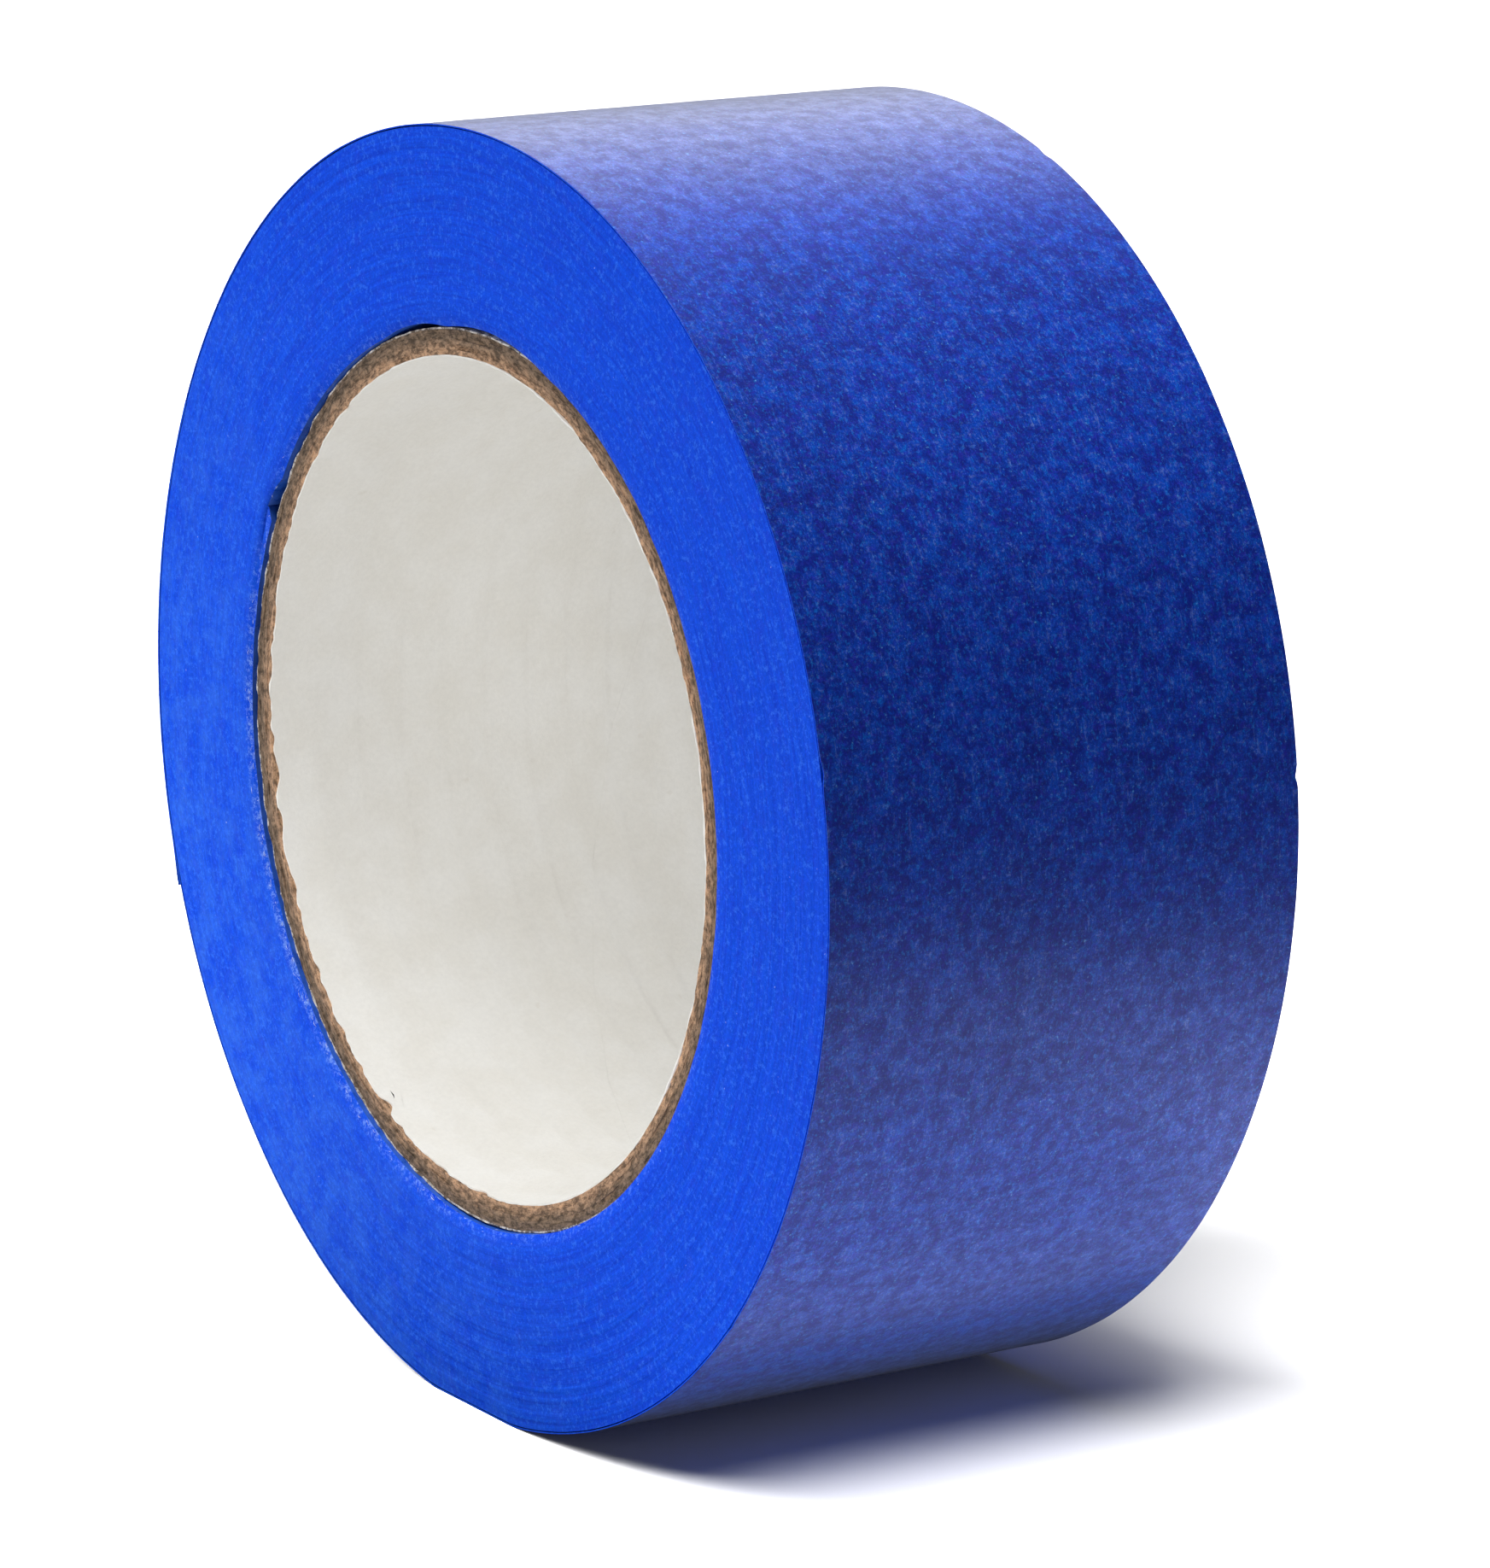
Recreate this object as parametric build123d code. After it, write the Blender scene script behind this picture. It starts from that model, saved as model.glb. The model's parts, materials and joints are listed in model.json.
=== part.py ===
from build123d import *
import os
from math import degrees

# A full roll of crepe paper masking tape on a spiral-wound paper core. Millimetres, +Z up.
# The roll stands on its tread: its axis lies along Y, and the origin is the centre of the bore.
# Angles are in degrees about that axis, seen from the front (the -Y side): 0 is +X and 90 is +Z.

# The core: a thin liner, a stack of chipboard plies and a thin outer ply.
bore_radius = 38.1
core_length = 46.1
skin_thickness = 0.16
board_thickness = 0.46
board_plies = 5
core_radius = bore_radius + 2 * skin_thickness + board_plies * board_thickness

# Each ply is a strip wound at a slant, so its two edges meet in one helical butt seam.
seam_pitch = 89.3
seam_width = 0.25
seam_overrun = 1.2
liner_seam_angle = 246.0
seam_step = 360 / (board_plies + 2)

# The tape: one strip wound in a spiral, lap on lap.
tape_width = 48.3
lap_thickness = 0.125
laps = 145
roll_radius = core_radius + laps * lap_thickness

# The inner end of the strip makes a step on the core, and the laps above bridge a small void beside it.
inner_end_angle = 152.5
void_angle = 4.0
void_height = 0.4

# The outer end of the strip: its last stretch peels, as a chain of short links.
outer_end_angle = 200.5
peel_length = 40.0
peel_links = 8
link_angle = degrees(peel_length / peel_links / roll_radius)
peel_angle = outer_end_angle - peel_links * link_angle
bed_clearance = 0.02
link_clearance = 0.03

# The tread has taken a slight flat where the roll stands.
foot_drop = 0.5
foot_height = roll_radius - foot_drop

# The outermost lap follows a spiral made of two half circles, whose centres lie a quarter of a lap
# either side of the axis, on the line through the strip's outer end.
spiral_offset = lap_thickness / 4
first_half_radius = roll_radius - 3 * lap_thickness / 4
second_half_radius = roll_radius - lap_thickness / 4
outer_centre = Pos(Vector(spiral_offset, 0).rotate(Axis.Z, outer_end_angle))

# A size well outside the roll, for shapes that only cut it.
beyond = 4 * roll_radius


def flat_shape(*corners):
    """A flat face with straight edges."""
    with BuildSketch() as sketch:
        with BuildLine():
            Polyline(*corners, close=True)
        make_face()
    return sketch.sketch


def sector(start_angle, end_angle):
    """A flat pie slice about the origin that reaches beyond the roll. It is less than half a turn wide."""
    arm = Vector(beyond, 0)
    return flat_shape((0, 0), arm.rotate(Axis.Z, start_angle), arm.rotate(Axis.Z, end_angle))


def half_disc(radius, offset, turn):
    """Half a disc whose centre lies off the axis, on the line through the strip's outer end."""
    disc = Pos(offset, 0) * Circle(radius)
    half_plane = Pos(0, beyond / 2) * Rectangle(beyond, beyond)
    return Rot(0, 0, outer_end_angle) * (disc & Rot(0, 0, turn) * half_plane)


def along_axis(profile, length):
    """Extrude a flat profile both ways along the roll's axis, and stand the roll up."""
    return Plane.XZ * extrude(profile, amount=length / 2, both=True)


def helical_seam(radius, thickness, seam_angle):
    """The gap where a ply's two edges meet: a thin bar swept along a helix, right through the ply.
    The bar runs out past both ends of the core and both faces of the ply."""
    length = core_length * seam_overrun
    depth = 3 * thickness
    path = Helix(pitch=seam_pitch, height=length, radius=radius)
    profile = Plane(path @ 0, x_dir=(1, 0, 0), z_dir=path % 0) * Rectangle(depth, seam_width)
    bar = sweep(profile, path=path, is_frenet=True)
    start_angle = seam_angle - 360 * length / seam_pitch / 2
    return Plane.XZ * (Rot(0, 0, start_angle) * (Pos(0, 0, -length / 2) * bar))


def core_ply(inner_radius, thickness, seam_angle):
    """One paper ply of the core: a tube with a helical butt seam."""
    outer_radius = inner_radius + thickness
    tube = along_axis(Circle(outer_radius) - Circle(inner_radius), core_length)
    return tube - helical_seam(inner_radius + thickness / 2, thickness, seam_angle)


def core_plies():
    """Every ply of the core by name, from the bore outwards."""
    names = ["core_inner_liner"]
    names += [f"core_ply_{number}" for number in range(1, board_plies + 1)]
    names += ["core_outer_ply"]
    plies = {}
    inner_radius = bore_radius
    for number, name in enumerate(names):
        thickness = board_thickness if name.startswith("core_ply") else skin_thickness
        plies[name] = core_ply(inner_radius, thickness, liner_seam_angle + number * seam_step)
        inner_radius += thickness
    return plies


def starting_void():
    """The small gap that the second lap bridges beside the inner end of the strip."""
    step_top = Vector(core_radius + void_height, 0).rotate(Axis.Z, inner_end_angle)
    step_foot = Vector(core_radius - void_height, 0).rotate(Axis.Z, inner_end_angle)
    void_tip = Vector(core_radius, 0).rotate(Axis.Z, inner_end_angle - void_angle)
    return flat_shape(step_top, step_foot, void_tip)


def wound_laps():
    """All the tape that stays on the roll, with a bed one lap deep where the loose end lies."""
    profile = half_disc(first_half_radius, -spiral_offset, 0)
    profile += half_disc(second_half_radius, spiral_offset, 180)
    bed_radius = second_half_radius - lap_thickness - bed_clearance
    profile -= sector(peel_angle, outer_end_angle) - outer_centre * Circle(bed_radius)
    profile -= Circle(core_radius)
    profile -= starting_void()
    profile -= Pos(0, -foot_height - roll_radius) * Rectangle(beyond, 2 * roll_radius)
    return along_axis(profile, tape_width)


def tape_link(number):
    """One short length of the loose end, counted from the peel line to the cut end."""
    start_angle = peel_angle + (number - 1) * link_angle
    end_angle = start_angle + link_angle - degrees(link_clearance / roll_radius)
    strip = outer_centre * (Circle(second_half_radius) - Circle(second_half_radius - lap_thickness))
    return along_axis(strip & sector(start_angle, end_angle), tape_width)


parts = core_plies()
parts["tape_wound_laps"] = wound_laps()
for link_number in range(1, peel_links + 1):
    parts[f"tape_end_{link_number}"] = tape_link(link_number)

os.makedirs("parts", exist_ok=True)
for name, shape in parts.items():
    export_step(shape, f"parts/{name}.step")
    print(name, round(shape.volume, 2), "mm3")
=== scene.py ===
import json
from math import atan2, cos, degrees, hypot, pi, radians, sin

import bmesh
import bpy
import numpy as np
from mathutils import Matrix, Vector


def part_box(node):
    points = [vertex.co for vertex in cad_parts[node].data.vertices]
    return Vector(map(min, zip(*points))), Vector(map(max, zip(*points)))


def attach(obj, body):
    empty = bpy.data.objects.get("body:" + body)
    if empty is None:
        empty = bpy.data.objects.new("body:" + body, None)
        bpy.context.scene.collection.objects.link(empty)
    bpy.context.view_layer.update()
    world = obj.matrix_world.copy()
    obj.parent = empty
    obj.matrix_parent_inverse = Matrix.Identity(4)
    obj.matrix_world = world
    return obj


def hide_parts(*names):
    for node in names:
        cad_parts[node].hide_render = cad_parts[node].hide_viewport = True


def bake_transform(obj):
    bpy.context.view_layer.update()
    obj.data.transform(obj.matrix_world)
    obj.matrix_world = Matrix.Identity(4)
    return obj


# A full roll of blue crepe paper masking tape on its paper core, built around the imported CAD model.
# Metres, +Z up. The roll's axis lies along Y, and the origin is the centre of the bore.
# Angles are in degrees about that axis, seen from the front (the -Y side): 0 is +X and 90 is +Z.

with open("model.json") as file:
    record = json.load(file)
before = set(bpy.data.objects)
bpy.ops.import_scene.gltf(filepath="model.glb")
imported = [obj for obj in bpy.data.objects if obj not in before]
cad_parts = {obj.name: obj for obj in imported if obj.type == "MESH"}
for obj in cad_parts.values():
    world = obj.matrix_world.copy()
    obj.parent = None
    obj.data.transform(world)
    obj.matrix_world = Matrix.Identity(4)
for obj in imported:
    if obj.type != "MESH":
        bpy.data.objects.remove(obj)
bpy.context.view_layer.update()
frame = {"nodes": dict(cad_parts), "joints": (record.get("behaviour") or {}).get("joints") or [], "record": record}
random = np.random.default_rng(11)
mm = 0.001

# The tape, the core and the floor each have their own softboxes.
light_groups = {group: bpy.data.collections.new(f"lit_{group}") for group in ("tape", "core", "floor")}

# ---------------------------------------------------------------- sizes, read from the frame

joints = {joint["name"]: joint for joint in frame["joints"]}
mounts = {mount["name"]: mount for mount in frame["record"]["mounts"]}
peel_x, _, peel_z = joints["peel"]["pos_m"]
next_x, _, next_z = joints["unbend_2"]["pos_m"]
laps_low, laps_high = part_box("tape_wound_laps")
_, core_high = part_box("core_outer_ply")

link_count = len(joints)
peel_angle = degrees(atan2(peel_z, peel_x)) % 360
link_angle = degrees(atan2(next_z, next_x)) % 360 - peel_angle
outer_end_angle = peel_angle + link_count * link_angle
half_width = laps_high.y
half_core = core_high.y
core_radius = core_high.x
bore_radius = mounts["core_bore"]["dims"]["r_mm"] * mm
floor_height = laps_low.z
lap_thickness = 0.125 * mm
end_radius = hypot(peel_x, peel_z) + lap_thickness * link_count * link_angle / 360

# The outermost lap and the loose end are one grid of columns along the strip. The lap stops half a
# link short of the peel line, and it starts where the laps under it stop.
steps_per_link = 10
half_link_steps = steps_per_link // 2
step_angle = link_angle / steps_per_link
lap_steps = 753
strip_steps = lap_steps + link_count * steps_per_link + half_link_steps
strip_angle = outer_end_angle + 360 + step_angle * (np.arange(strip_steps + 1) - strip_steps)
inner_end_angle = strip_angle[0]
covered_laps = 143


# ---------------------------------------------------------------- small helpers

def smoothstep(value):
    """0 below 0, 1 above 1, and a smooth rise between."""
    t = np.clip(value, 0, 1)
    return t * t * (3 - 2 * t)


def hump(angle, centre, width):
    """A smooth bump of height 1, in degrees round the roll."""
    away = (np.asarray(angle) - centre + 180) % 360 - 180
    return np.exp(-((away / width) ** 2))


def lens(angle, start, stop):
    """A low arch of height 1 between two angles, with a crisp corner at each end."""
    share = np.clip((np.asarray(angle) % 360 - start) / (stop - start), 0, 1)
    return 4 * share * (1 - share)


def smooth_noise(*axes):
    """Random noise with a spread of 1 on a grid that wraps round. Each axis is (cells, blur in cells)."""
    field = random.standard_normal([cells for cells, blur in axes])
    for axis, (cells, blur) in enumerate(axes):
        gain = np.exp(-0.5 * (2 * pi * blur * np.fft.fftfreq(cells)) ** 2)
        shape = [1] * field.ndim
        shape[axis] = cells
        field = np.fft.ifft(np.fft.fft(field, axis=axis) * gain.reshape(shape), axis=axis).real
    return field / field.std()


def on_cylinder(radius, angle, along):
    """Points at these radii, angles in degrees and places along the axis."""
    turn = np.radians(angle)
    return np.stack(np.broadcast_arrays(radius * np.cos(turn), along, radius * np.sin(turn)), axis=-1)


def grid_faces(rows, columns, wrap_columns=True, first=0):
    """The quads of a grid of points, row by row. The columns may close on themselves."""
    index = first + np.arange(rows * columns).reshape(rows, columns)
    if wrap_columns:
        index = np.hstack([index, index[:, :1]])
    corners = index[:-1, :-1], index[1:, :-1], index[1:, 1:], index[:-1, 1:]
    return np.stack(corners, axis=-1).reshape(-1, 4)


def add_piece(name, points, faces, materials, group, face_slots=None, strip=None, crease=35):
    """A closed mesh in the row frame, in the group that takes the same lights. face_slots picks each
    face's material, and strip gives each point's place on the strip, for its texture."""
    mesh = bpy.data.meshes.new(name)
    mesh.from_pydata(np.reshape(points, (-1, 3)).tolist(), [], [list(map(int, face)) for face in faces])
    for material in materials:
        mesh.materials.append(material)
    if face_slots is not None:
        mesh.polygons.foreach_set("material_index", np.asarray(face_slots, np.int32))
    shape = bmesh.new()
    shape.from_mesh(mesh)
    bmesh.ops.recalc_face_normals(shape, faces=shape.faces)
    shape.to_mesh(mesh)
    shape.free()
    mesh.polygons.foreach_set("use_smooth", [True] * len(mesh.polygons))
    mesh.set_sharp_from_angle(angle=radians(crease))
    if strip is not None:
        attribute = mesh.attributes.new("strip", "FLOAT_VECTOR", "POINT")
        attribute.data.foreach_set("vector", np.reshape(strip, -1).astype(np.float32))
    mesh.update()
    piece = bpy.data.objects.new(name, mesh)
    bpy.context.scene.collection.objects.link(piece)
    light_groups[group].objects.link(piece)
    return piece


# ---------------------------------------------------------------- materials

class Shader:
    """A procedural material with one Principled shader, and short calls that add its nodes."""

    def __init__(self, name, roughness, specular=0.5, sheen=0.0):
        self.material = bpy.data.materials.new(name)
        self.material.use_nodes = True
        self.tree = self.material.node_tree
        self.surface = self.tree.nodes["Principled BSDF"]
        self.surface.inputs["Roughness"].default_value = roughness
        self.surface.inputs["Specular IOR Level"].default_value = specular
        self.surface.inputs["Sheen Weight"].default_value = sheen
        self.surface.inputs["Sheen Roughness"].default_value = 0.4

    def node(self, kind, output, inputs, **settings):
        """Adds a node. inputs maps socket names or numbers to values or to other nodes' outputs."""
        node = self.tree.nodes.new(kind)
        for key, value in settings.items():
            setattr(node, key, value)
        for key, value in inputs.items():
            if isinstance(value, bpy.types.NodeSocket):
                self.tree.links.new(value, node.inputs[key])
            else:
                node.inputs[key].default_value = value
        return node.outputs[output]

    def place(self):
        """The point in the row frame, in millimetres."""
        point = self.node("ShaderNodeTexCoord", "Object", {})
        return self.node("ShaderNodeVectorMath", 0, {0: point, 1: (1000, 1000, 1000)}, operation="MULTIPLY")

    def strip_place(self):
        """The point on the flat strip, in millimetres: X along it and Y across it."""
        return self.node("ShaderNodeAttribute", "Vector", {}, attribute_name="strip")

    def scaled(self, vector, x, y, z):
        return self.node("ShaderNodeVectorMath", 0, {0: vector, 1: (x, y, z)}, operation="MULTIPLY")

    def polar(self, vector, around, outward, along):
        """A seamless place for rings: millimetres around, outward from and along the axis, times these."""
        ring_radius = 50
        flat = self.scaled(vector, 1, 0, 1)
        radius = self.node("ShaderNodeVectorMath", "Value", {0: flat}, operation="LENGTH")
        unit = self.node("ShaderNodeVectorMath", 0, {0: flat}, operation="NORMALIZE")
        ring = self.scaled(unit, around * ring_radius, 0, around * ring_radius)
        climb = self.maths("MULTIPLY", radius, outward)
        depth = self.node("ShaderNodeSeparateXYZ", "Y", {0: vector})
        level = self.maths("ADD", climb, self.maths("MULTIPLY", depth, along))
        upright = self.node("ShaderNodeCombineXYZ", 0, {1: level})
        return self.node("ShaderNodeVectorMath", 0, {0: ring, 1: upright}, operation="ADD"), radius

    def maths(self, operation, first, second=0.0, clamp=False):
        return self.node("ShaderNodeMath", 0, {0: first, 1: second}, operation=operation, use_clamp=clamp)

    def noise(self, vector, scale, detail=2.0, roughness=0.5):
        inputs = {"Vector": vector, "Scale": scale, "Detail": detail, "Roughness": roughness}
        return self.node("ShaderNodeTexNoise", 0, inputs)

    def rise(self, value, low, high, bottom=0.0, top=1.0):
        """A smooth step from bottom at low to top at high."""
        inputs = {"Value": value, 1: low, 2: high, 3: bottom, 4: top}
        return self.node("ShaderNodeMapRange", 0, inputs, interpolation_type="SMOOTHSTEP")

    def mixed(self, share, first, second):
        """A blend of two colours: all second where share is 1."""
        def full(colour):
            return colour if isinstance(colour, bpy.types.NodeSocket) else (*colour, 1)
        return self.node("ShaderNodeMix", 2, {0: share, 6: full(first), 7: full(second)}, data_type="RGBA")

    def lit(self, colour, gain):
        """A colour times a grey value."""
        grey = self.node("ShaderNodeCombineColor", 0, {0: gain, 1: gain, 2: gain})
        inputs = {0: 1.0, 6: colour, 7: grey}
        return self.node("ShaderNodeMix", 2, inputs, data_type="RGBA", blend_type="MULTIPLY")

    def finish(self, colour, height=None, depth=0.0, roughness=None):
        """Connects the colour, a bump of this depth in metres, and a roughness that varies."""
        self.tree.links.new(colour, self.surface.inputs["Base Color"])
        if height is not None:
            bump = self.node("ShaderNodeBump", 0, {"Height": height, "Distance": depth})
            self.tree.links.new(bump, self.surface.inputs["Normal"])
        if roughness is not None:
            self.tree.links.new(roughness, self.surface.inputs["Roughness"])
        return self.material


def tread_paper():
    """The smooth outer face of the tape: navy clouded with cobalt, violet and cyan, and pale fibres that
    show most where the clouds are light. It is painted greyer at a grazing angle, as painted sheen."""
    shader = Shader("tape_tread_paper", roughness=0.42, specular=0.42)
    place = shader.strip_place()
    clouds = shader.noise(place, 0.5, detail=6, roughness=0.78)
    violet = shader.noise(shader.scaled(place, 1.3, 1.0, 1), 0.9, detail=5, roughness=0.8)
    cyan = shader.noise(shader.scaled(place, 1.0, 1.2, 1), 1.5, detail=4, roughness=0.8)
    wide = shader.noise(place, 0.1, detail=2)
    grain = shader.noise(shader.scaled(place, 1.0, 1.4, 1), 3.2, detail=2, roughness=0.9)
    fibres = shader.noise(shader.scaled(place, 1.3, 1.0, 1), 1.4, detail=5, roughness=0.88)
    streaks = shader.noise(shader.scaled(place, 0.36, 2.6, 1), 1.0, detail=4, roughness=0.8)
    specks = shader.noise(place, 3.0, detail=1)
    colour = shader.mixed(shader.rise(clouds, 0.4, 0.62), (0.0004, 0.016, 0.31), (0.0008, 0.068, 0.58))
    colour = shader.mixed(shader.rise(violet, 0.5, 0.62, 0, 0.6), colour, (0.02, 0.024, 0.5))
    colour = shader.mixed(shader.rise(cyan, 0.53, 0.65, 0, 0.7), colour, (0.002, 0.17, 0.72))
    shade = shader.rise(wide, 0.3, 0.7, -0.08, 0.08)
    colour = shader.lit(colour, shader.maths("ADD", shader.rise(grain, 0.36, 0.64, 0.8, 1.2), shade))
    pale = shader.rise(clouds, 0.42, 0.62, 0.25, 1.5)
    layers = (fibres, 0.53, 0.64, 0.24), (grain, 0.58, 0.69, 0.15), (streaks, 0.57, 0.68, 0.2)
    for noise, low, high, share in layers:
        shown = shader.maths("MULTIPLY", shader.rise(noise, low, high, 0, share), pale)
        colour = shader.mixed(shown, colour, (0.3, 0.42, 0.9))
    # Painted sheen: towards a grazing angle the base colour turns grey, standing in for the grey reflection there.
    painted_sheen_facing = shader.node("ShaderNodeLayerWeight", "Facing", {"Blend": 0.5})
    colour = shader.mixed(shader.rise(painted_sheen_facing, 0.45, 1.1, 0, 0.75), colour, (0.09, 0.1, 0.08))
    in_cyan = shader.rise(cyan, 0.48, 0.62, 0.15, 0.8)
    bright = shader.maths("MULTIPLY", shader.rise(specks, 0.66, 0.76), in_cyan)
    colour = shader.mixed(bright, colour, (0.14, 0.38, 0.8))
    height = shader.maths("ADD", grain, shader.maths("MULTIPLY", streaks, 0.5))
    return shader.finish(colour, height, 0.012 * mm, shader.rise(clouds, 0.35, 0.65, 0.48, 0.36))


def side_paper():
    """The stack of cut edges: a bright blue with faint lap lines and pale lint, patches of painted light that
    make it paler low on the left, and scuffs at the inner rim."""
    shader = Shader("tape_cut_edges", roughness=0.7, specular=0.05)
    place = shader.place()
    ring_place, radius = shader.polar(place, around=0.1, outward=2.6, along=0.0)
    lines = shader.noise(ring_place, 1.0, detail=4, roughness=0.75)
    grain = shader.noise(place, 3.0, detail=3, roughness=0.9)
    lint = shader.noise(place, 1.5, detail=5, roughness=0.85)
    haze = shader.noise(place, 0.35, detail=5, roughness=0.75)
    tint = shader.noise(place, 0.45, detail=4, roughness=0.7)
    colour = shader.mixed(shader.rise(lines, 0.3, 0.7), (0.0005, 0.046, 0.64), (0.001, 0.076, 0.76))
    colour = shader.mixed(shader.rise(tint, 0.5, 0.72, 0, 0.6), colour, (0.008, 0.05, 0.66))
    colour = shader.lit(colour, shader.rise(grain, 0.3, 0.7, 0.86, 1.14))
    # Painted light: patches of a paler blue that grow towards the lower left, where the face looks lighter.
    towards_low_left = {0: place, 1: (-0.87, 0, -0.5)}
    low_left = shader.node("ShaderNodeVectorMath", "Value", towards_low_left, operation="DOT_PRODUCT")
    painted_light_low_left = shader.maths("MULTIPLY", shader.rise(haze, 0.3, 0.7), shader.rise(low_left, -5, 58, 0.01, 0.15))
    colour = shader.mixed(painted_light_low_left, colour, (0.13, 0.44, 0.9))
    colour = shader.mixed(shader.rise(lint, 0.52, 0.62, 0, 0.32), colour, (0.05, 0.23, 0.84))
    rim = core_radius / mm
    near_core = shader.rise(radius, rim + 1.4, rim)
    worn = shader.rise(low_left, 0.3 * rim, rim, 0.3, 1)
    rubbed = shader.maths("MULTIPLY", near_core, worn)
    scuffs = shader.maths("MULTIPLY", rubbed, shader.rise(lint, 0.46, 0.66, 0, 0.6))
    colour = shader.mixed(scuffs, colour, (0.34, 0.5, 0.86))
    specks = shader.noise(place, 1.7, detail=1, roughness=0.8)
    colour = shader.mixed(shader.rise(specks, 0.76, 0.82, 0, 0.7), colour, (0.3, 0.42, 0.85))
    height = shader.maths("ADD", lines, shader.maths("MULTIPLY", grain, 0.8))
    return shader.finish(colour, height, 0.03 * mm)


def adhesive_face():
    """The sticky underside: the same blue paper under a thin clear coat, with a soft gloss."""
    shader = Shader("tape_adhesive_face", roughness=0.3, specular=0.5)
    place = shader.strip_place()
    clouds = shader.noise(place, 0.5, detail=4, roughness=0.6)
    fibres = shader.noise(shader.scaled(place, 1.5, 4.0, 1), 1.0, detail=3, roughness=0.7)
    colour = shader.mixed(shader.rise(clouds, 0.3, 0.7), (0.012, 0.075, 0.46), (0.02, 0.115, 0.58))
    colour = shader.lit(colour, shader.rise(fibres, 0.2, 0.8, 0.85, 1.15))
    return shader.finish(colour, fibres, 0.01 * mm, shader.rise(clouds, 0.3, 0.7, 0.24, 0.4))


def chipboard():
    """Grey-brown recycled board, warmer towards the bore, with short fibres and dark flecks."""
    shader = Shader("core_chipboard", roughness=0.9, specular=0.2, sheen=0.1)
    place = shader.place()
    ring_place, radius = shader.polar(place, around=0.9, outward=2.5, along=2.5)
    fibres = shader.noise(ring_place, 1.0, detail=4, roughness=0.75)
    patches = shader.noise(place, 0.6, detail=3, roughness=0.6)
    flecks = shader.noise(place, 5.5, detail=2, roughness=0.6)
    bore = bore_radius / mm
    wall = core_radius / mm - bore
    uneven = shader.maths("MULTIPLY", shader.maths("SUBTRACT", patches, 0.5), 2.4)
    outward = shader.rise(shader.maths("ADD", radius, uneven), bore - 0.2, bore + 0.75 * wall)
    colour = shader.mixed(outward, (0.46, 0.28, 0.17), (0.18, 0.125, 0.085))
    colour = shader.lit(colour, shader.rise(fibres, 0.35, 0.65, 0.4, 1.6))
    colour = shader.mixed(shader.rise(flecks, 0.6, 0.7, 0, 0.7), colour, (0.06, 0.045, 0.035))
    return shader.finish(colour, fibres, 0.1 * mm)


def core_wrap():
    """The thin pale ply round the outside of the core."""
    shader = Shader("core_wrap_paper", roughness=0.85, specular=0.25)
    place = shader.place()
    fibres = shader.noise(place, 1.3, detail=5, roughness=0.8)
    colour = shader.mixed(shader.rise(fibres, 0.42, 0.58), (0.15, 0.12, 0.1), (0.76, 0.72, 0.66))
    return shader.finish(colour, fibres, 0.05 * mm)


def liner_paper():
    """The off-white paper that lines the bore: smooth, faintly mottled, with a few small stains."""
    shader = Shader("core_liner_paper", roughness=0.72, specular=0.35)
    place = shader.place()
    clouds = shader.noise(place, 0.16, detail=4, roughness=0.6)
    fibres = shader.noise(place, 2.4, detail=4, roughness=0.7)
    stains = shader.noise(place, 0.5, detail=2, roughness=0.5)
    colour = shader.mixed(shader.rise(clouds, 0.3, 0.7), (0.865, 0.845, 0.795), (0.905, 0.893, 0.858))
    colour = shader.lit(colour, shader.rise(fibres, 0.2, 0.8, 0.965, 1.035))
    colour = shader.mixed(shader.rise(stains, 0.72, 0.8, 0, 0.12), colour, (0.5, 0.42, 0.3))
    return shader.finish(colour, fibres, 0.02 * mm)


def lint_fibre():
    """Loose paper fibres and adhesive lint."""
    shader = Shader("paper_lint", roughness=0.7, specular=0.3)
    shade = shader.noise(shader.place(), 1.5, detail=2)
    colour = shader.mixed(shader.rise(shade, 0.35, 0.65), (0.3, 0.42, 0.75), (0.72, 0.76, 0.84))
    return shader.finish(colour)


# ---------------------------------------------------------------- the wound tape

# The first laps bridge a void beside the strip's folded start, and stand off the core in a few slack
# places: from one angle to another, by so many millimetres. Both fade out over the next laps.
void_angle = 5.0
void_height = 0.95 * mm
fold_reach = 9.0
slack_places = ((71.2, 95.5, 0.44), (95.5, 111.5, 0.36), (258, 281, 0.2))
lift_laps = 9.0

# The strip's edges wander sideways: slowly over laps, within a lap, and from cell to cell.
wander_cells = 64
strip_turns = strip_steps * step_angle / 360
wander_count = int((covered_laps + strip_turns) * wander_cells) + 2
wander = 0.014 * mm * smooth_noise((wander_count, 2.2 * wander_cells))
wander += 0.005 * mm * smooth_noise((wander_count, 0.16 * wander_cells))
wander += 0.004 * mm * smooth_noise((wander_count, 1.2))

# The last few degrees of the strip lift off the roll.
end_lift = 0.22 * mm
end_lift_angle = 5.0

# Small dents in the rims of the tread: angle, side, depth in millimetres and width in degrees.
nicks = ((5.8, 1, 0.25, 0.5), (70, 1, 0.22, 0.7), (11.7, -1, 0.2, 0.8), (318, -1, 0.12, 0.6))


def tread_radius(angle):
    """The radius of the tape's outermost face at an angle: one lap higher just before the free end."""
    turns_before_end = ((outer_end_angle - np.asarray(angle)) % 360) / 360
    return end_radius - lap_thickness * turns_before_end


def press_foot(radius, angle):
    """Presses the lowest part of the roll flat on the floor, and the laps further in less."""
    down = np.maximum(-np.sin(np.radians(angle)), 0.1)
    excess = tread_radius(angle) + floor_height / down
    softness = 0.04 * mm
    press = (excess + np.sqrt(excess**2 + softness**2)) / 2
    reach = 9 * mm
    return radius - press * smoothstep((radius - end_radius + reach) / reach)


def rim_shift(turns):
    """How far the tape's two edges wander sideways along the strip, lap by lap."""
    return wander[np.clip((turns * wander_cells).astype(int), 0, len(wander) - 1)]


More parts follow.
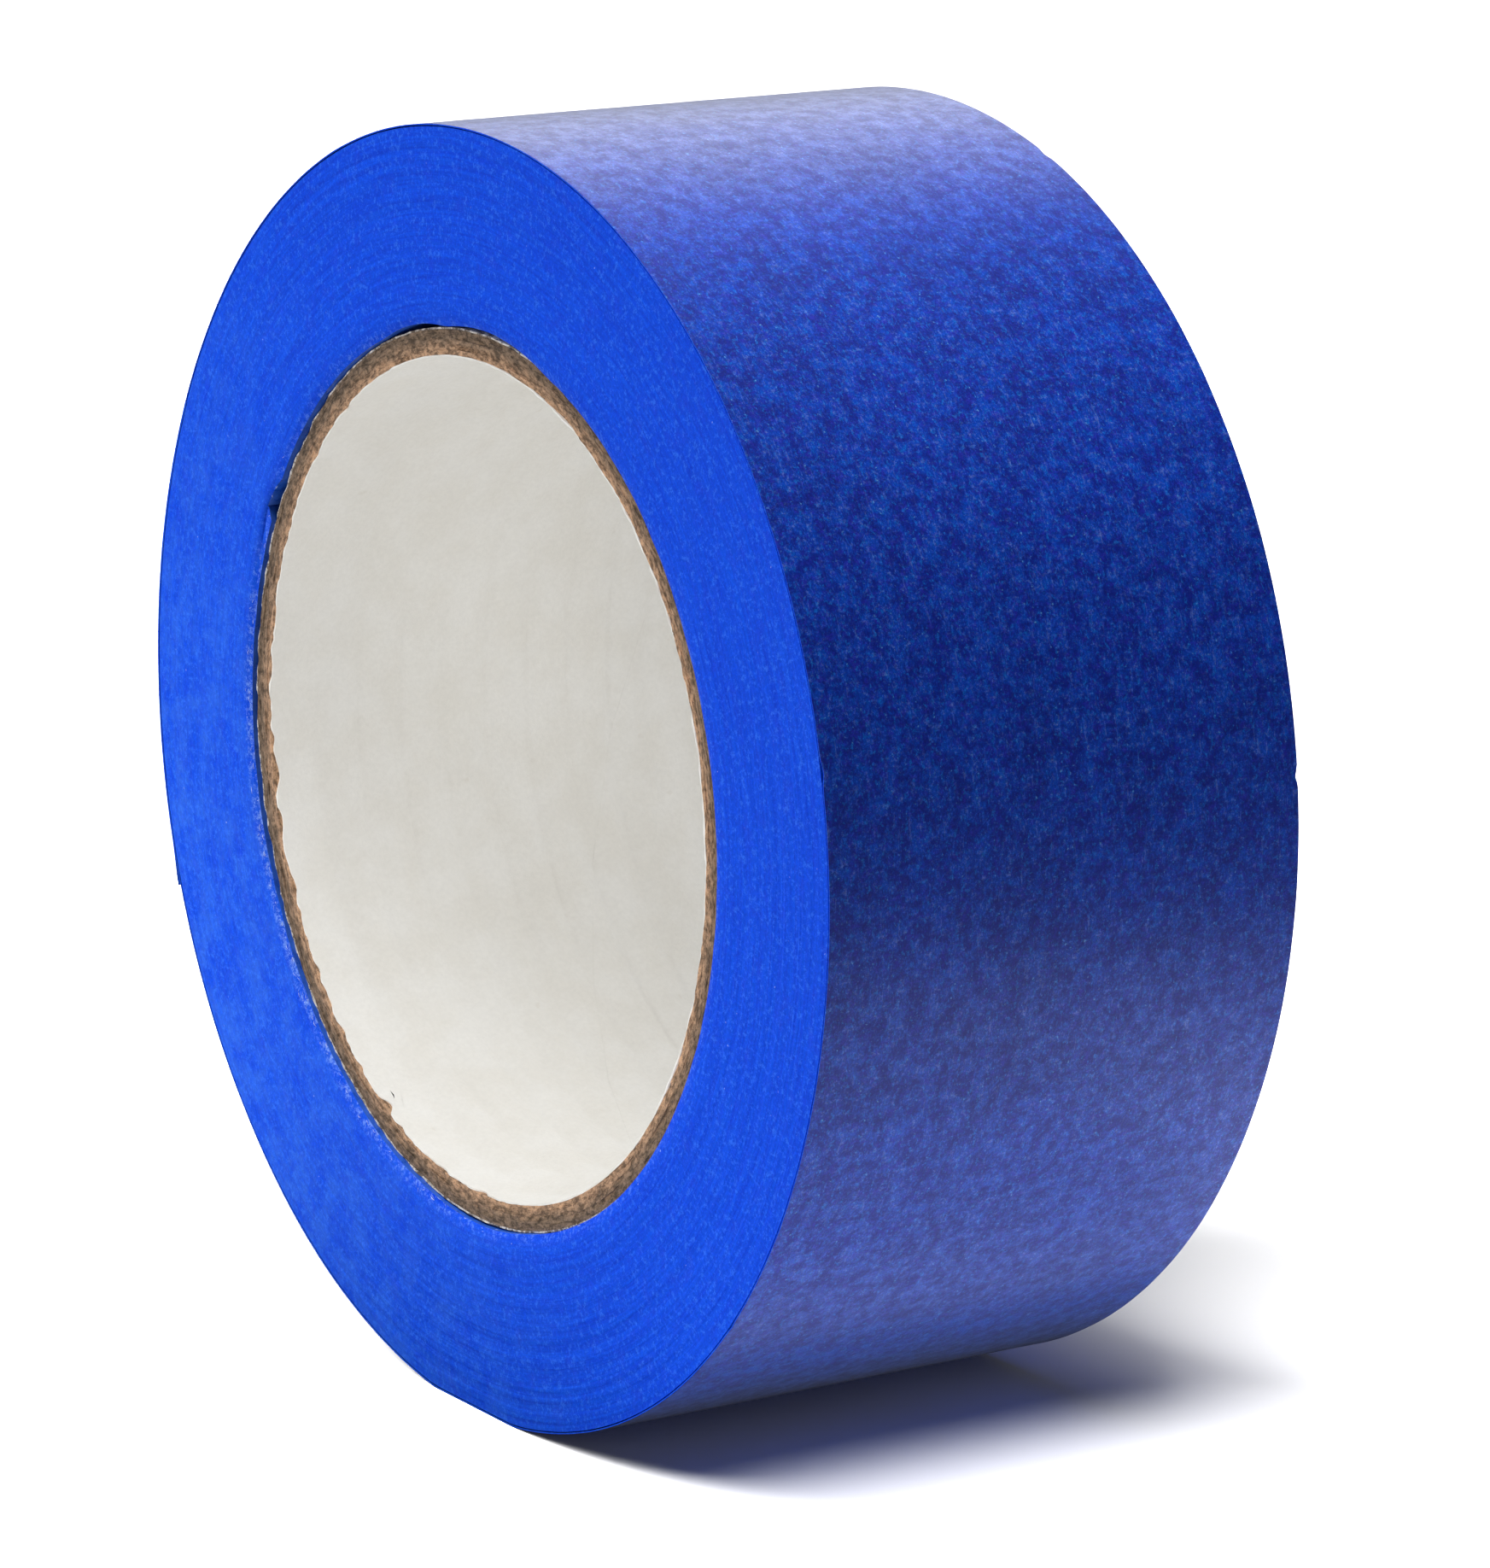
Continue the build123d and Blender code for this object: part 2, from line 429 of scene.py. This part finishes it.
def rim_set_back(turns):
    """How far the first laps' edges have drawn back from the side face, beside the core."""
    return 0.42 * mm * np.exp(-turns / 6)


def first_lap_lift(turns, angle):
    """How far the first laps stand off the core: at the strip's folded start, and in the slack places."""
    before_step = (inner_end_angle - angle) % 360
    after_step = (angle - inner_end_angle) % 360
    void = np.sqrt(np.maximum(1 - before_step / void_angle, 0)) * void_height
    fold = np.where(turns >= 1, np.exp(-after_step / fold_reach) * void_height, 0)
    slack = sum(height * mm * lens(angle, start, stop) for start, stop, height in slack_places)
    share = np.exp(-np.maximum(turns - 1, 0) / lift_laps)
    return (np.maximum(void, fold) + slack) * share


def wound_laps(materials):
    """All the laps under the outermost one, as one spiral from the core out. Its two side faces have a
    row of points for every lap, and an inner and an outer wall join them."""
    per_lap = 256
    count = covered_laps * per_lap
    turns = np.arange(count + 1) / per_lap
    angle = inner_end_angle + 360 * turns
    top_radius = end_radius - lap_thickness * (1 + strip_turns)
    pitch = (top_radius - core_radius) / covered_laps
    radius = core_radius + pitch * turns + first_lap_lift(turns, angle)
    radius = press_foot(radius, angle)
    sides = []
    for side in (-1, 1):
        fray = 0.05 * mm * np.abs(smooth_noise((count + 1, 1.0))) * np.exp(-turns / 3)
        along = side * (half_width - 0.03 * mm - fray - rim_set_back(turns)) + rim_shift(turns)
        sides.append(on_cylinder(radius, angle, along))
    ring = np.arange(count - per_lap)
    sheet = np.stack([ring, ring + 1, ring + 1 + per_lap, ring + per_lap], axis=-1)
    inner = np.append(np.arange(per_lap + 1), 0)
    outer = np.append(np.arange(count - per_lap, count + 1), count - per_lap)
    back = count + 1
    walls = []
    for loop in (inner, outer):
        walls.append(np.stack([loop[:-1], loop[1:], loop[1:] + back, loop[:-1] + back], axis=-1))
    faces = np.concatenate([sheet, sheet + back, *walls])
    slots = np.concatenate([np.zeros(2 * len(sheet)), np.ones(len(walls[0])), np.zeros(len(walls[1]))])
    strip = np.zeros((2 * (count + 1), 3))
    strip[:, 0] = np.tile(radius * np.radians(angle), 2) / mm
    strip[:, 1] = np.repeat([-half_width, half_width], count + 1) / mm
    return add_piece("tape_wound_laps_stack", np.concatenate(sides), faces, materials, "tape", slots, strip)


def strip_section():
    """The strip's cross-section as a closed loop with rounded upper corners: place across, and depth
    below the outer face."""
    corner = np.array([0, 0.02, 0.08]) * mm
    corner_depth = np.array([0.03, 0.006, 0]) * mm
    middle = np.linspace(-half_width + 0.4 * mm, half_width - 0.4 * mm, 117)
    across = np.concatenate([corner - half_width, middle, half_width - corner[::-1]])
    depth = np.concatenate([corner_depth, 0 * middle, corner_depth[::-1]])
    return np.append(across, [half_width, -half_width]), np.append(depth, [lap_thickness, lap_thickness])


def strip_points():
    """Every point of the outermost lap and the loose end, column by column, and its place on the strip."""
    across, depth = strip_section()
    face_count = len(across) - 2
    columns = strip_steps + 1
    turns = covered_laps + (strip_angle - inner_end_angle) / 360
    radius = end_radius - lap_thickness * (strip_angle[-1] - strip_angle) / 360
    radius = press_foot(radius, strip_angle)
    mottle = 0.005 * mm * smooth_noise((columns, 2.2), (face_count, 2.2))
    waves = 0.014 * mm * smooth_noise((columns, 12), (face_count, 14))
    grooves = 0.0025 * mm * smooth_noise((columns, 9), (face_count, 0.7))
    relief = np.zeros((columns, len(across)))
    relief[:, :face_count] = mottle + waves + grooves
    relief[:, -2] = relief[:, face_count - 1]
    relief[:, -1] = relief[:, 0]
    to_end = (strip_angle[-1] - strip_angle)[:, None]
    near_edge = np.abs(across) / half_width
    lift = end_lift * (1 - smoothstep(to_end / end_lift_angle)) ** 1.5 * (1 + 0.6 * near_edge**4)
    edge_shift = rim_shift(turns)[:, None] + rim_nicks(across)
    height = radius[:, None] - depth + relief + lift
    points = on_cylinder(height, strip_angle[:, None], across + edge_shift)
    along = np.broadcast_to((end_radius * np.radians(strip_angle))[:, None], relief.shape)
    place = np.stack([along, np.broadcast_to(across, relief.shape), 0 * along], axis=-1) / mm
    return points, place


def rim_nicks(across):
    """Small dents in the tape's two outer edges."""
    shift = np.zeros((strip_steps + 1, len(across)))
    for angle, side, depth, width in nicks:
        at_edge = smoothstep(1 - (half_width - side * across) / (1.2 * mm))
        shift -= side * depth * mm * hump(strip_angle, angle, width)[:, None] * at_edge
    return shift


def strip_piece(name, first, last, points, place, materials):
    """The closed length of the strip between two columns. The last three faces round its section are a
    cut edge, the adhesive face and the other cut edge."""
    part = points[first:last + 1]
    rows, columns = part.shape[:2]
    faces = grid_faces(rows, columns).tolist()
    loop_slots = np.zeros(columns, int)
    loop_slots[[-3, -1]] = 1
    loop_slots[-2] = 2
    slots = np.tile(loop_slots, rows - 1).tolist()
    faces += [list(range(columns)), list(range((rows - 1) * columns, rows * columns))]
    slots += [1, 1]
    return add_piece(name, part, faces, materials, "tape", slots, place[first:last + 1])


def peeling_end(points, place, materials):
    """The loose end: short lengths of the strip, one for each link, then a tip that goes with the last link."""
    bodies = ["roll"] + [f"end_link_{number}" for number in range(1, link_count + 1)]
    first = lap_steps
    for number in range(1, link_count + 1):
        last = first + steps_per_link
        piece = strip_piece(f"tape_end_length_{number}", first, last, points, place, materials)
        start = on_cylinder(end_radius, strip_angle[first], 0.0)
        end = on_cylinder(end_radius, strip_angle[last], 0.0)
        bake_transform(piece)
        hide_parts(f"tape_end_{number}")
        first = last
    tip = strip_piece("tape_end_tip", first, strip_steps, points, place, materials)
    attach(tip, bodies[-1])


def tape():
    """The whole wound strip, in the pieces that move apart."""
    materials = [tread_paper(), side_paper(), adhesive_face()]
    stack = wound_laps([materials[1], materials[2]])
    points, place = strip_points()
    outer_lap = strip_piece("tape_outer_lap", 0, lap_steps, points, place, materials)
    for piece in (stack, outer_lap):
        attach(piece, "roll")
        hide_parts("tape_wound_laps")
    peeling_end(points, place, materials)


def fibre_tube(stations, sides):
    """One loose fibre beside the core as a thin tapered tube. It lies along the tape's edges, curls, and
    stands a little proud of them."""
    angle = random.normal(212, 34)
    length = random.uniform(0.2, 0.8) * mm
    thickness = random.uniform(0.01, 0.024) * mm
    radius = core_radius + abs(random.normal(0.1, 0.3)) * mm
    heading = random.normal(0, 0.5)
    curl = random.normal(0, 1.2)
    along = np.linspace(0, 1, stations)
    bend = heading + curl * along
    forward = np.cumsum(np.cos(bend)) * length / stations
    outward = np.cumsum(np.sin(bend)) * length / stations
    clearance = 0.03 * mm
    proud = 0.02 * mm + 0.05 * mm * np.sin(pi * along)
    centres = on_cylinder(
        np.maximum(radius + outward, core_radius + clearance),
        angle + np.degrees(forward / core_radius),
        rim_set_back((radius - core_radius) / lap_thickness) - half_width - proud + clearance,
    )
    taper = thickness * np.sqrt(np.maximum(np.sin(pi * (0.08 + 0.84 * along)), 0.05))
    around = 2 * pi * np.arange(sides) / sides
    outward_axis = np.array([cos(radians(angle)), 0, sin(radians(angle))])
    ring = np.outer(np.cos(around), outward_axis) + np.outer(np.sin(around), [0, 1, 0])
    return centres[:, None, :] + taper[:, None, None] * ring[None]


def rim_lint():
    """Frayed fibres on the cut edges beside the core, most of them low on the left."""
    fibre_count = 90
    sides, stations = 5, 7
    points, faces = [], []
    for number in range(fibre_count):
        points.append(fibre_tube(stations, sides))
        first = number * stations * sides
        last = first + (stations - 1) * sides
        faces += grid_faces(stations, sides, first=first).tolist()
        faces += [list(range(first, first + sides)), list(range(last, last + sides))]
    piece = add_piece("tape_rim_lint", np.concatenate(points), faces, [lint_fibre()], "tape")
    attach(piece, "roll")


# ---------------------------------------------------------------- the core

# Each ply is a strip wound at a slant, so its two edges meet in one helical butt seam.
seam_pitch = 89.3 * mm
liner_seam_angle = 246.0
board_count = sum(node.startswith("core_ply") for node in frame["nodes"])
seam_step = 360 / (board_count + 2)

# The core's ends stand a little further out than in the CAD model, and the back end isn't quite square.
edge_angle = np.arange(0, 360, 0.5)
front_stand = 0.2 * mm
back_stand = 0.5 * mm * (1 + np.cos(np.radians(edge_angle - 185))) / 2


def torn_edge(depth, blur, low_angle, high_angle, outside_share, bite):
    """How far a ply's end is worn back at each half degree. Outside the two angles it's worn less, and
    a larger bite wears more of the edge."""
    noise = smooth_noise((len(edge_angle), blur))
    fine = smooth_noise((len(edge_angle), 0.6))
    middle, reach = (low_angle + high_angle) / 2, (high_angle - low_angle) / 2
    inside = smoothstep(1.4 * (1 - np.abs((edge_angle - middle + 180) % 360 - 180) / reach))
    share = outside_share + (1 - outside_share) * inside
    return share * np.maximum(noise + bite, 0) * depth + 0.03 * mm * np.abs(fine)


def ply_section():
    """A ply's cross-section as a closed loop: place along the axis, and share of the thickness. Its
    rows lie closer together towards the two ends, where it's worn."""
    end_rows = np.array([0, 0.08, 0.25, 0.6, 1.4, 3.0]) * mm
    middle_rows = np.linspace(-0.8, 0.8, 9) * half_core
    rows = np.concatenate([-half_core + end_rows, middle_rows, half_core - end_rows[::-1]])
    across = np.array([1, 2]) / 3
    along = np.concatenate([rows, np.full(2, half_core), rows[::-1], np.full(2, -half_core)])
    thickness = np.concatenate([0 * rows, across, 0 * rows + 1, across[::-1]])
    return along, thickness


def near_end(along, side, reach):
    """1 at one end of the core, falling smoothly to 0 at this reach from it."""
    return smoothstep((side * along - half_core + reach) / reach)


def core_ply(name, node, inner, seam_number, seam_gap, front_wear, back_wear, material, slot):
    """One ply of the core: a paper tube with a helical butt seam and worn ends."""
    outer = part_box(node)[1].x
    around = 720
    wear_reach, ragged_reach = 3 * mm, 0.3 * mm
    along, thickness = ply_section()
    radius = inner + (outer - inner) * thickness
    seam_angle = liner_seam_angle + seam_number * seam_step - 360 * along / seam_pitch
    gap_angle = degrees(seam_gap / inner)
    share = np.linspace(0, 1, around + 1)[:, None]
    angle = seam_angle + gap_angle / 2 + share * (360 - gap_angle)
    ragged = 0.025 * mm * smooth_noise((around + 1, 0.8), (len(along), 0.8))
    front = np.interp(angle % 360, edge_angle, front_wear, period=360)
    back = np.interp(angle % 360, edge_angle, back_wear, period=360)
    place = along + front * near_end(along, -1, wear_reach) - back * near_end(along, 1, wear_reach)
    place += ragged * near_end(np.abs(along), 1, ragged_reach)
    points = on_cylinder(radius, angle, place)
    columns = len(along)
    faces = grid_faces(around + 1, columns).tolist()
    faces += [list(range(columns)), list(range(around * columns, (around + 1) * columns))]
    piece = add_piece(name, points, faces, [material], "core")
    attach(piece, "roll")
    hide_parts(node)
    return outer


def core():
    """The core's plies from the bore outwards: a pale liner, the chipboard and a thin pale wrap."""
    board, liner, wrap = chipboard(), liner_paper(), core_wrap()
    tight_gap, butt_gap = 0.03 * mm, 0.2 * mm
    front = torn_edge(0.2 * mm, 1.7, 135, 305, 0.3, 0.7) - front_stand
    back = torn_edge(0.1 * mm, 1.7, 20, 120, 0.3, 0.2) - back_stand
    ply = "core_liner", "core_inner_liner", bore_radius, 0, tight_gap
    outer = core_ply(*ply, front, back, liner, "liner_paper")
    for number in range(1, board_count + 1):
        front = torn_edge(0.07 * mm, 3.0, 0, 359, 1, 0.6) - front_stand
        back = torn_edge(0.07 * mm, 3.0, 0, 359, 1, 0.6) - back_stand
        ply = f"core_board_{number}", f"core_ply_{number}", outer, number, butt_gap
        outer = core_ply(*ply, front, back, board, "chipboard")
    front = torn_edge(0.12 * mm, 1.5, 40, 220, 0.4, 0.3) - front_stand
    back = torn_edge(0.12 * mm, 1.5, 200, 300, 0.4, 0.3) - back_stand
    ply = "core_wrap", "core_outer_ply", outer, board_count + 1, butt_gap
    core_ply(*ply, front, back, wrap, "core_wrap_paper")


# ---------------------------------------------------------------- the stage

def add_floor():
    """A plain white sheet at the roll's foot. It sends no light to the roll: the bounce panels do."""
    half = 1.2
    corners = [(-half, -half), (half, -half), (half, half), (-half, half)]
    mesh = bpy.data.meshes.new("floor")
    mesh.from_pydata([(x, y, floor_height) for x, y in corners], [], [(0, 1, 2, 3)])
    floor = bpy.data.objects.new("floor", mesh)
    bpy.context.scene.collection.objects.link(floor)
    shader = Shader("floor_white", roughness=0.9, specular=0.1)
    shader.surface.inputs["Base Color"].default_value = (0.9, 0.9, 0.9, 1)
    mesh.materials.append(shader.material)
    light_groups["floor"].objects.link(floor)
    floor.visible_diffuse = False
    floor.visible_glossy = False
    floor.visible_shadow = False


def add_area_light(name, size, brightness):
    """A square area light the camera doesn't see. Brightness is its radiance, where white paper in
    full light has 1."""
    light = bpy.data.lights.new(name, "AREA")
    light.size = size
    light.energy = brightness * pi * size**2
    lamp = bpy.data.objects.new(name, light)
    lamp.visible_camera = False
    bpy.context.scene.collection.objects.link(lamp)
    return lamp


def add_softbox(name, direction, distance, size, brightness, group):
    """An area light that faces the roll from a direction, and lights one group of pieces."""
    softbox = add_area_light(name, size, brightness)
    away = Vector(direction).normalized()
    softbox.location = away * distance
    softbox.rotation_euler = away.to_track_quat("Z", "Y").to_euler()
    softbox.light_linking.receiver_collection = light_groups[group]


def add_bounce_panel(angle, distance, size):
    """The light that a bright stretch of the floor sends up, at this angle from +X and this distance."""
    panel = add_area_light(f"bounce_{angle}", size, brightness=0.8)
    side, front = distance * cos(radians(angle)), distance * sin(radians(angle))
    just_under_floor = floor_height - 1 * mm
    panel.location = (side, front, just_under_floor)
    panel.rotation_euler = (pi, 0, 0)


def add_world():
    """White behind the roll for the camera, and a dim even fill for everything else."""
    fill, backdrop = 0.04, 1.1
    world = bpy.data.worlds.new("studio")
    world.use_nodes = True
    nodes, links = world.node_tree.nodes, world.node_tree.links
    path = nodes.new("ShaderNodeLightPath")
    mix = nodes.new("ShaderNodeMix")
    mix.inputs[2].default_value = fill
    mix.inputs[3].default_value = backdrop
    links.new(path.outputs["Is Camera Ray"], mix.inputs[0])
    links.new(mix.outputs[0], nodes["Background"].inputs["Strength"])
    nodes["Background"].inputs["Color"].default_value = (1, 1, 1, 1)
    bpy.context.scene.world = world


def add_camera():
    """The photograph's viewpoint: far off to the right and a little above, with a long lens."""
    azimuth, elevation, distance = radians(57.75), radians(12.6), 637.5 * mm
    target = Vector((2.9, 3.4, -2.9)) * mm
    back = Vector((sin(azimuth) * cos(elevation), -cos(azimuth) * cos(elevation), sin(elevation)))
    data = bpy.data.cameras.new("camera")
    data.lens = 160.65
    data.sensor_width = 36
    camera = bpy.data.objects.new("camera", data)
    camera.location = back * distance
    camera.rotation_mode = "QUATERNION"
    camera.rotation_quaternion = (target - camera.location).to_track_quat("-Z", "Y")
    bpy.context.scene.collection.objects.link(camera)
    bpy.context.scene.camera = camera


def stage():
    """The floor, the lights and the camera."""
    add_floor()
    # Each softbox: its name, direction from the roll, distance, size, brightness and group.
    add_softbox("tape_behind_left", (-0.7, 0.52, 0.5), 1.3, 0.8, 2.5, "tape")
    add_softbox("tape_overhead", (-0.08, -0.22, 0.97), 1.3, 0.9, 9.8, "tape")
    add_softbox("tape_front_left", (-0.6, -0.8, 0.05), 0.7, 0.5, 3.7, "tape")
    add_softbox("core_front", (0.5, -0.85, 0.25), 1.3, 1.2, 2.5, "core")
    add_softbox("core_overhead", (-0.1, -0.3, 0.95), 1.3, 0.9, 3.4, "core")
    add_softbox("core_behind", (-0.2, 0.93, 0.3), 1.3, 1.2, 3.4, "core")
    add_softbox("floor_right", (0.42, -0.33, 0.85), 2.5, 1.2, 28.0, "floor")
    add_softbox("floor_left", (-0.45, -0.62, 0.64), 2.5, 1.2, 26.0, "floor")
    add_softbox("floor_low_fill", (0.8, -0.55, 0.25), 2.5, 1.2, 1.1, "floor")
    add_bounce_panel(0, 0.105, 0.14)
    for angle in (90, 180, 270):
        add_bounce_panel(angle, 0.172, 0.26)
    add_world()
    add_camera()
    bpy.context.scene.view_settings.view_transform = "Standard"


tape()
rim_lint()
core()
stage()
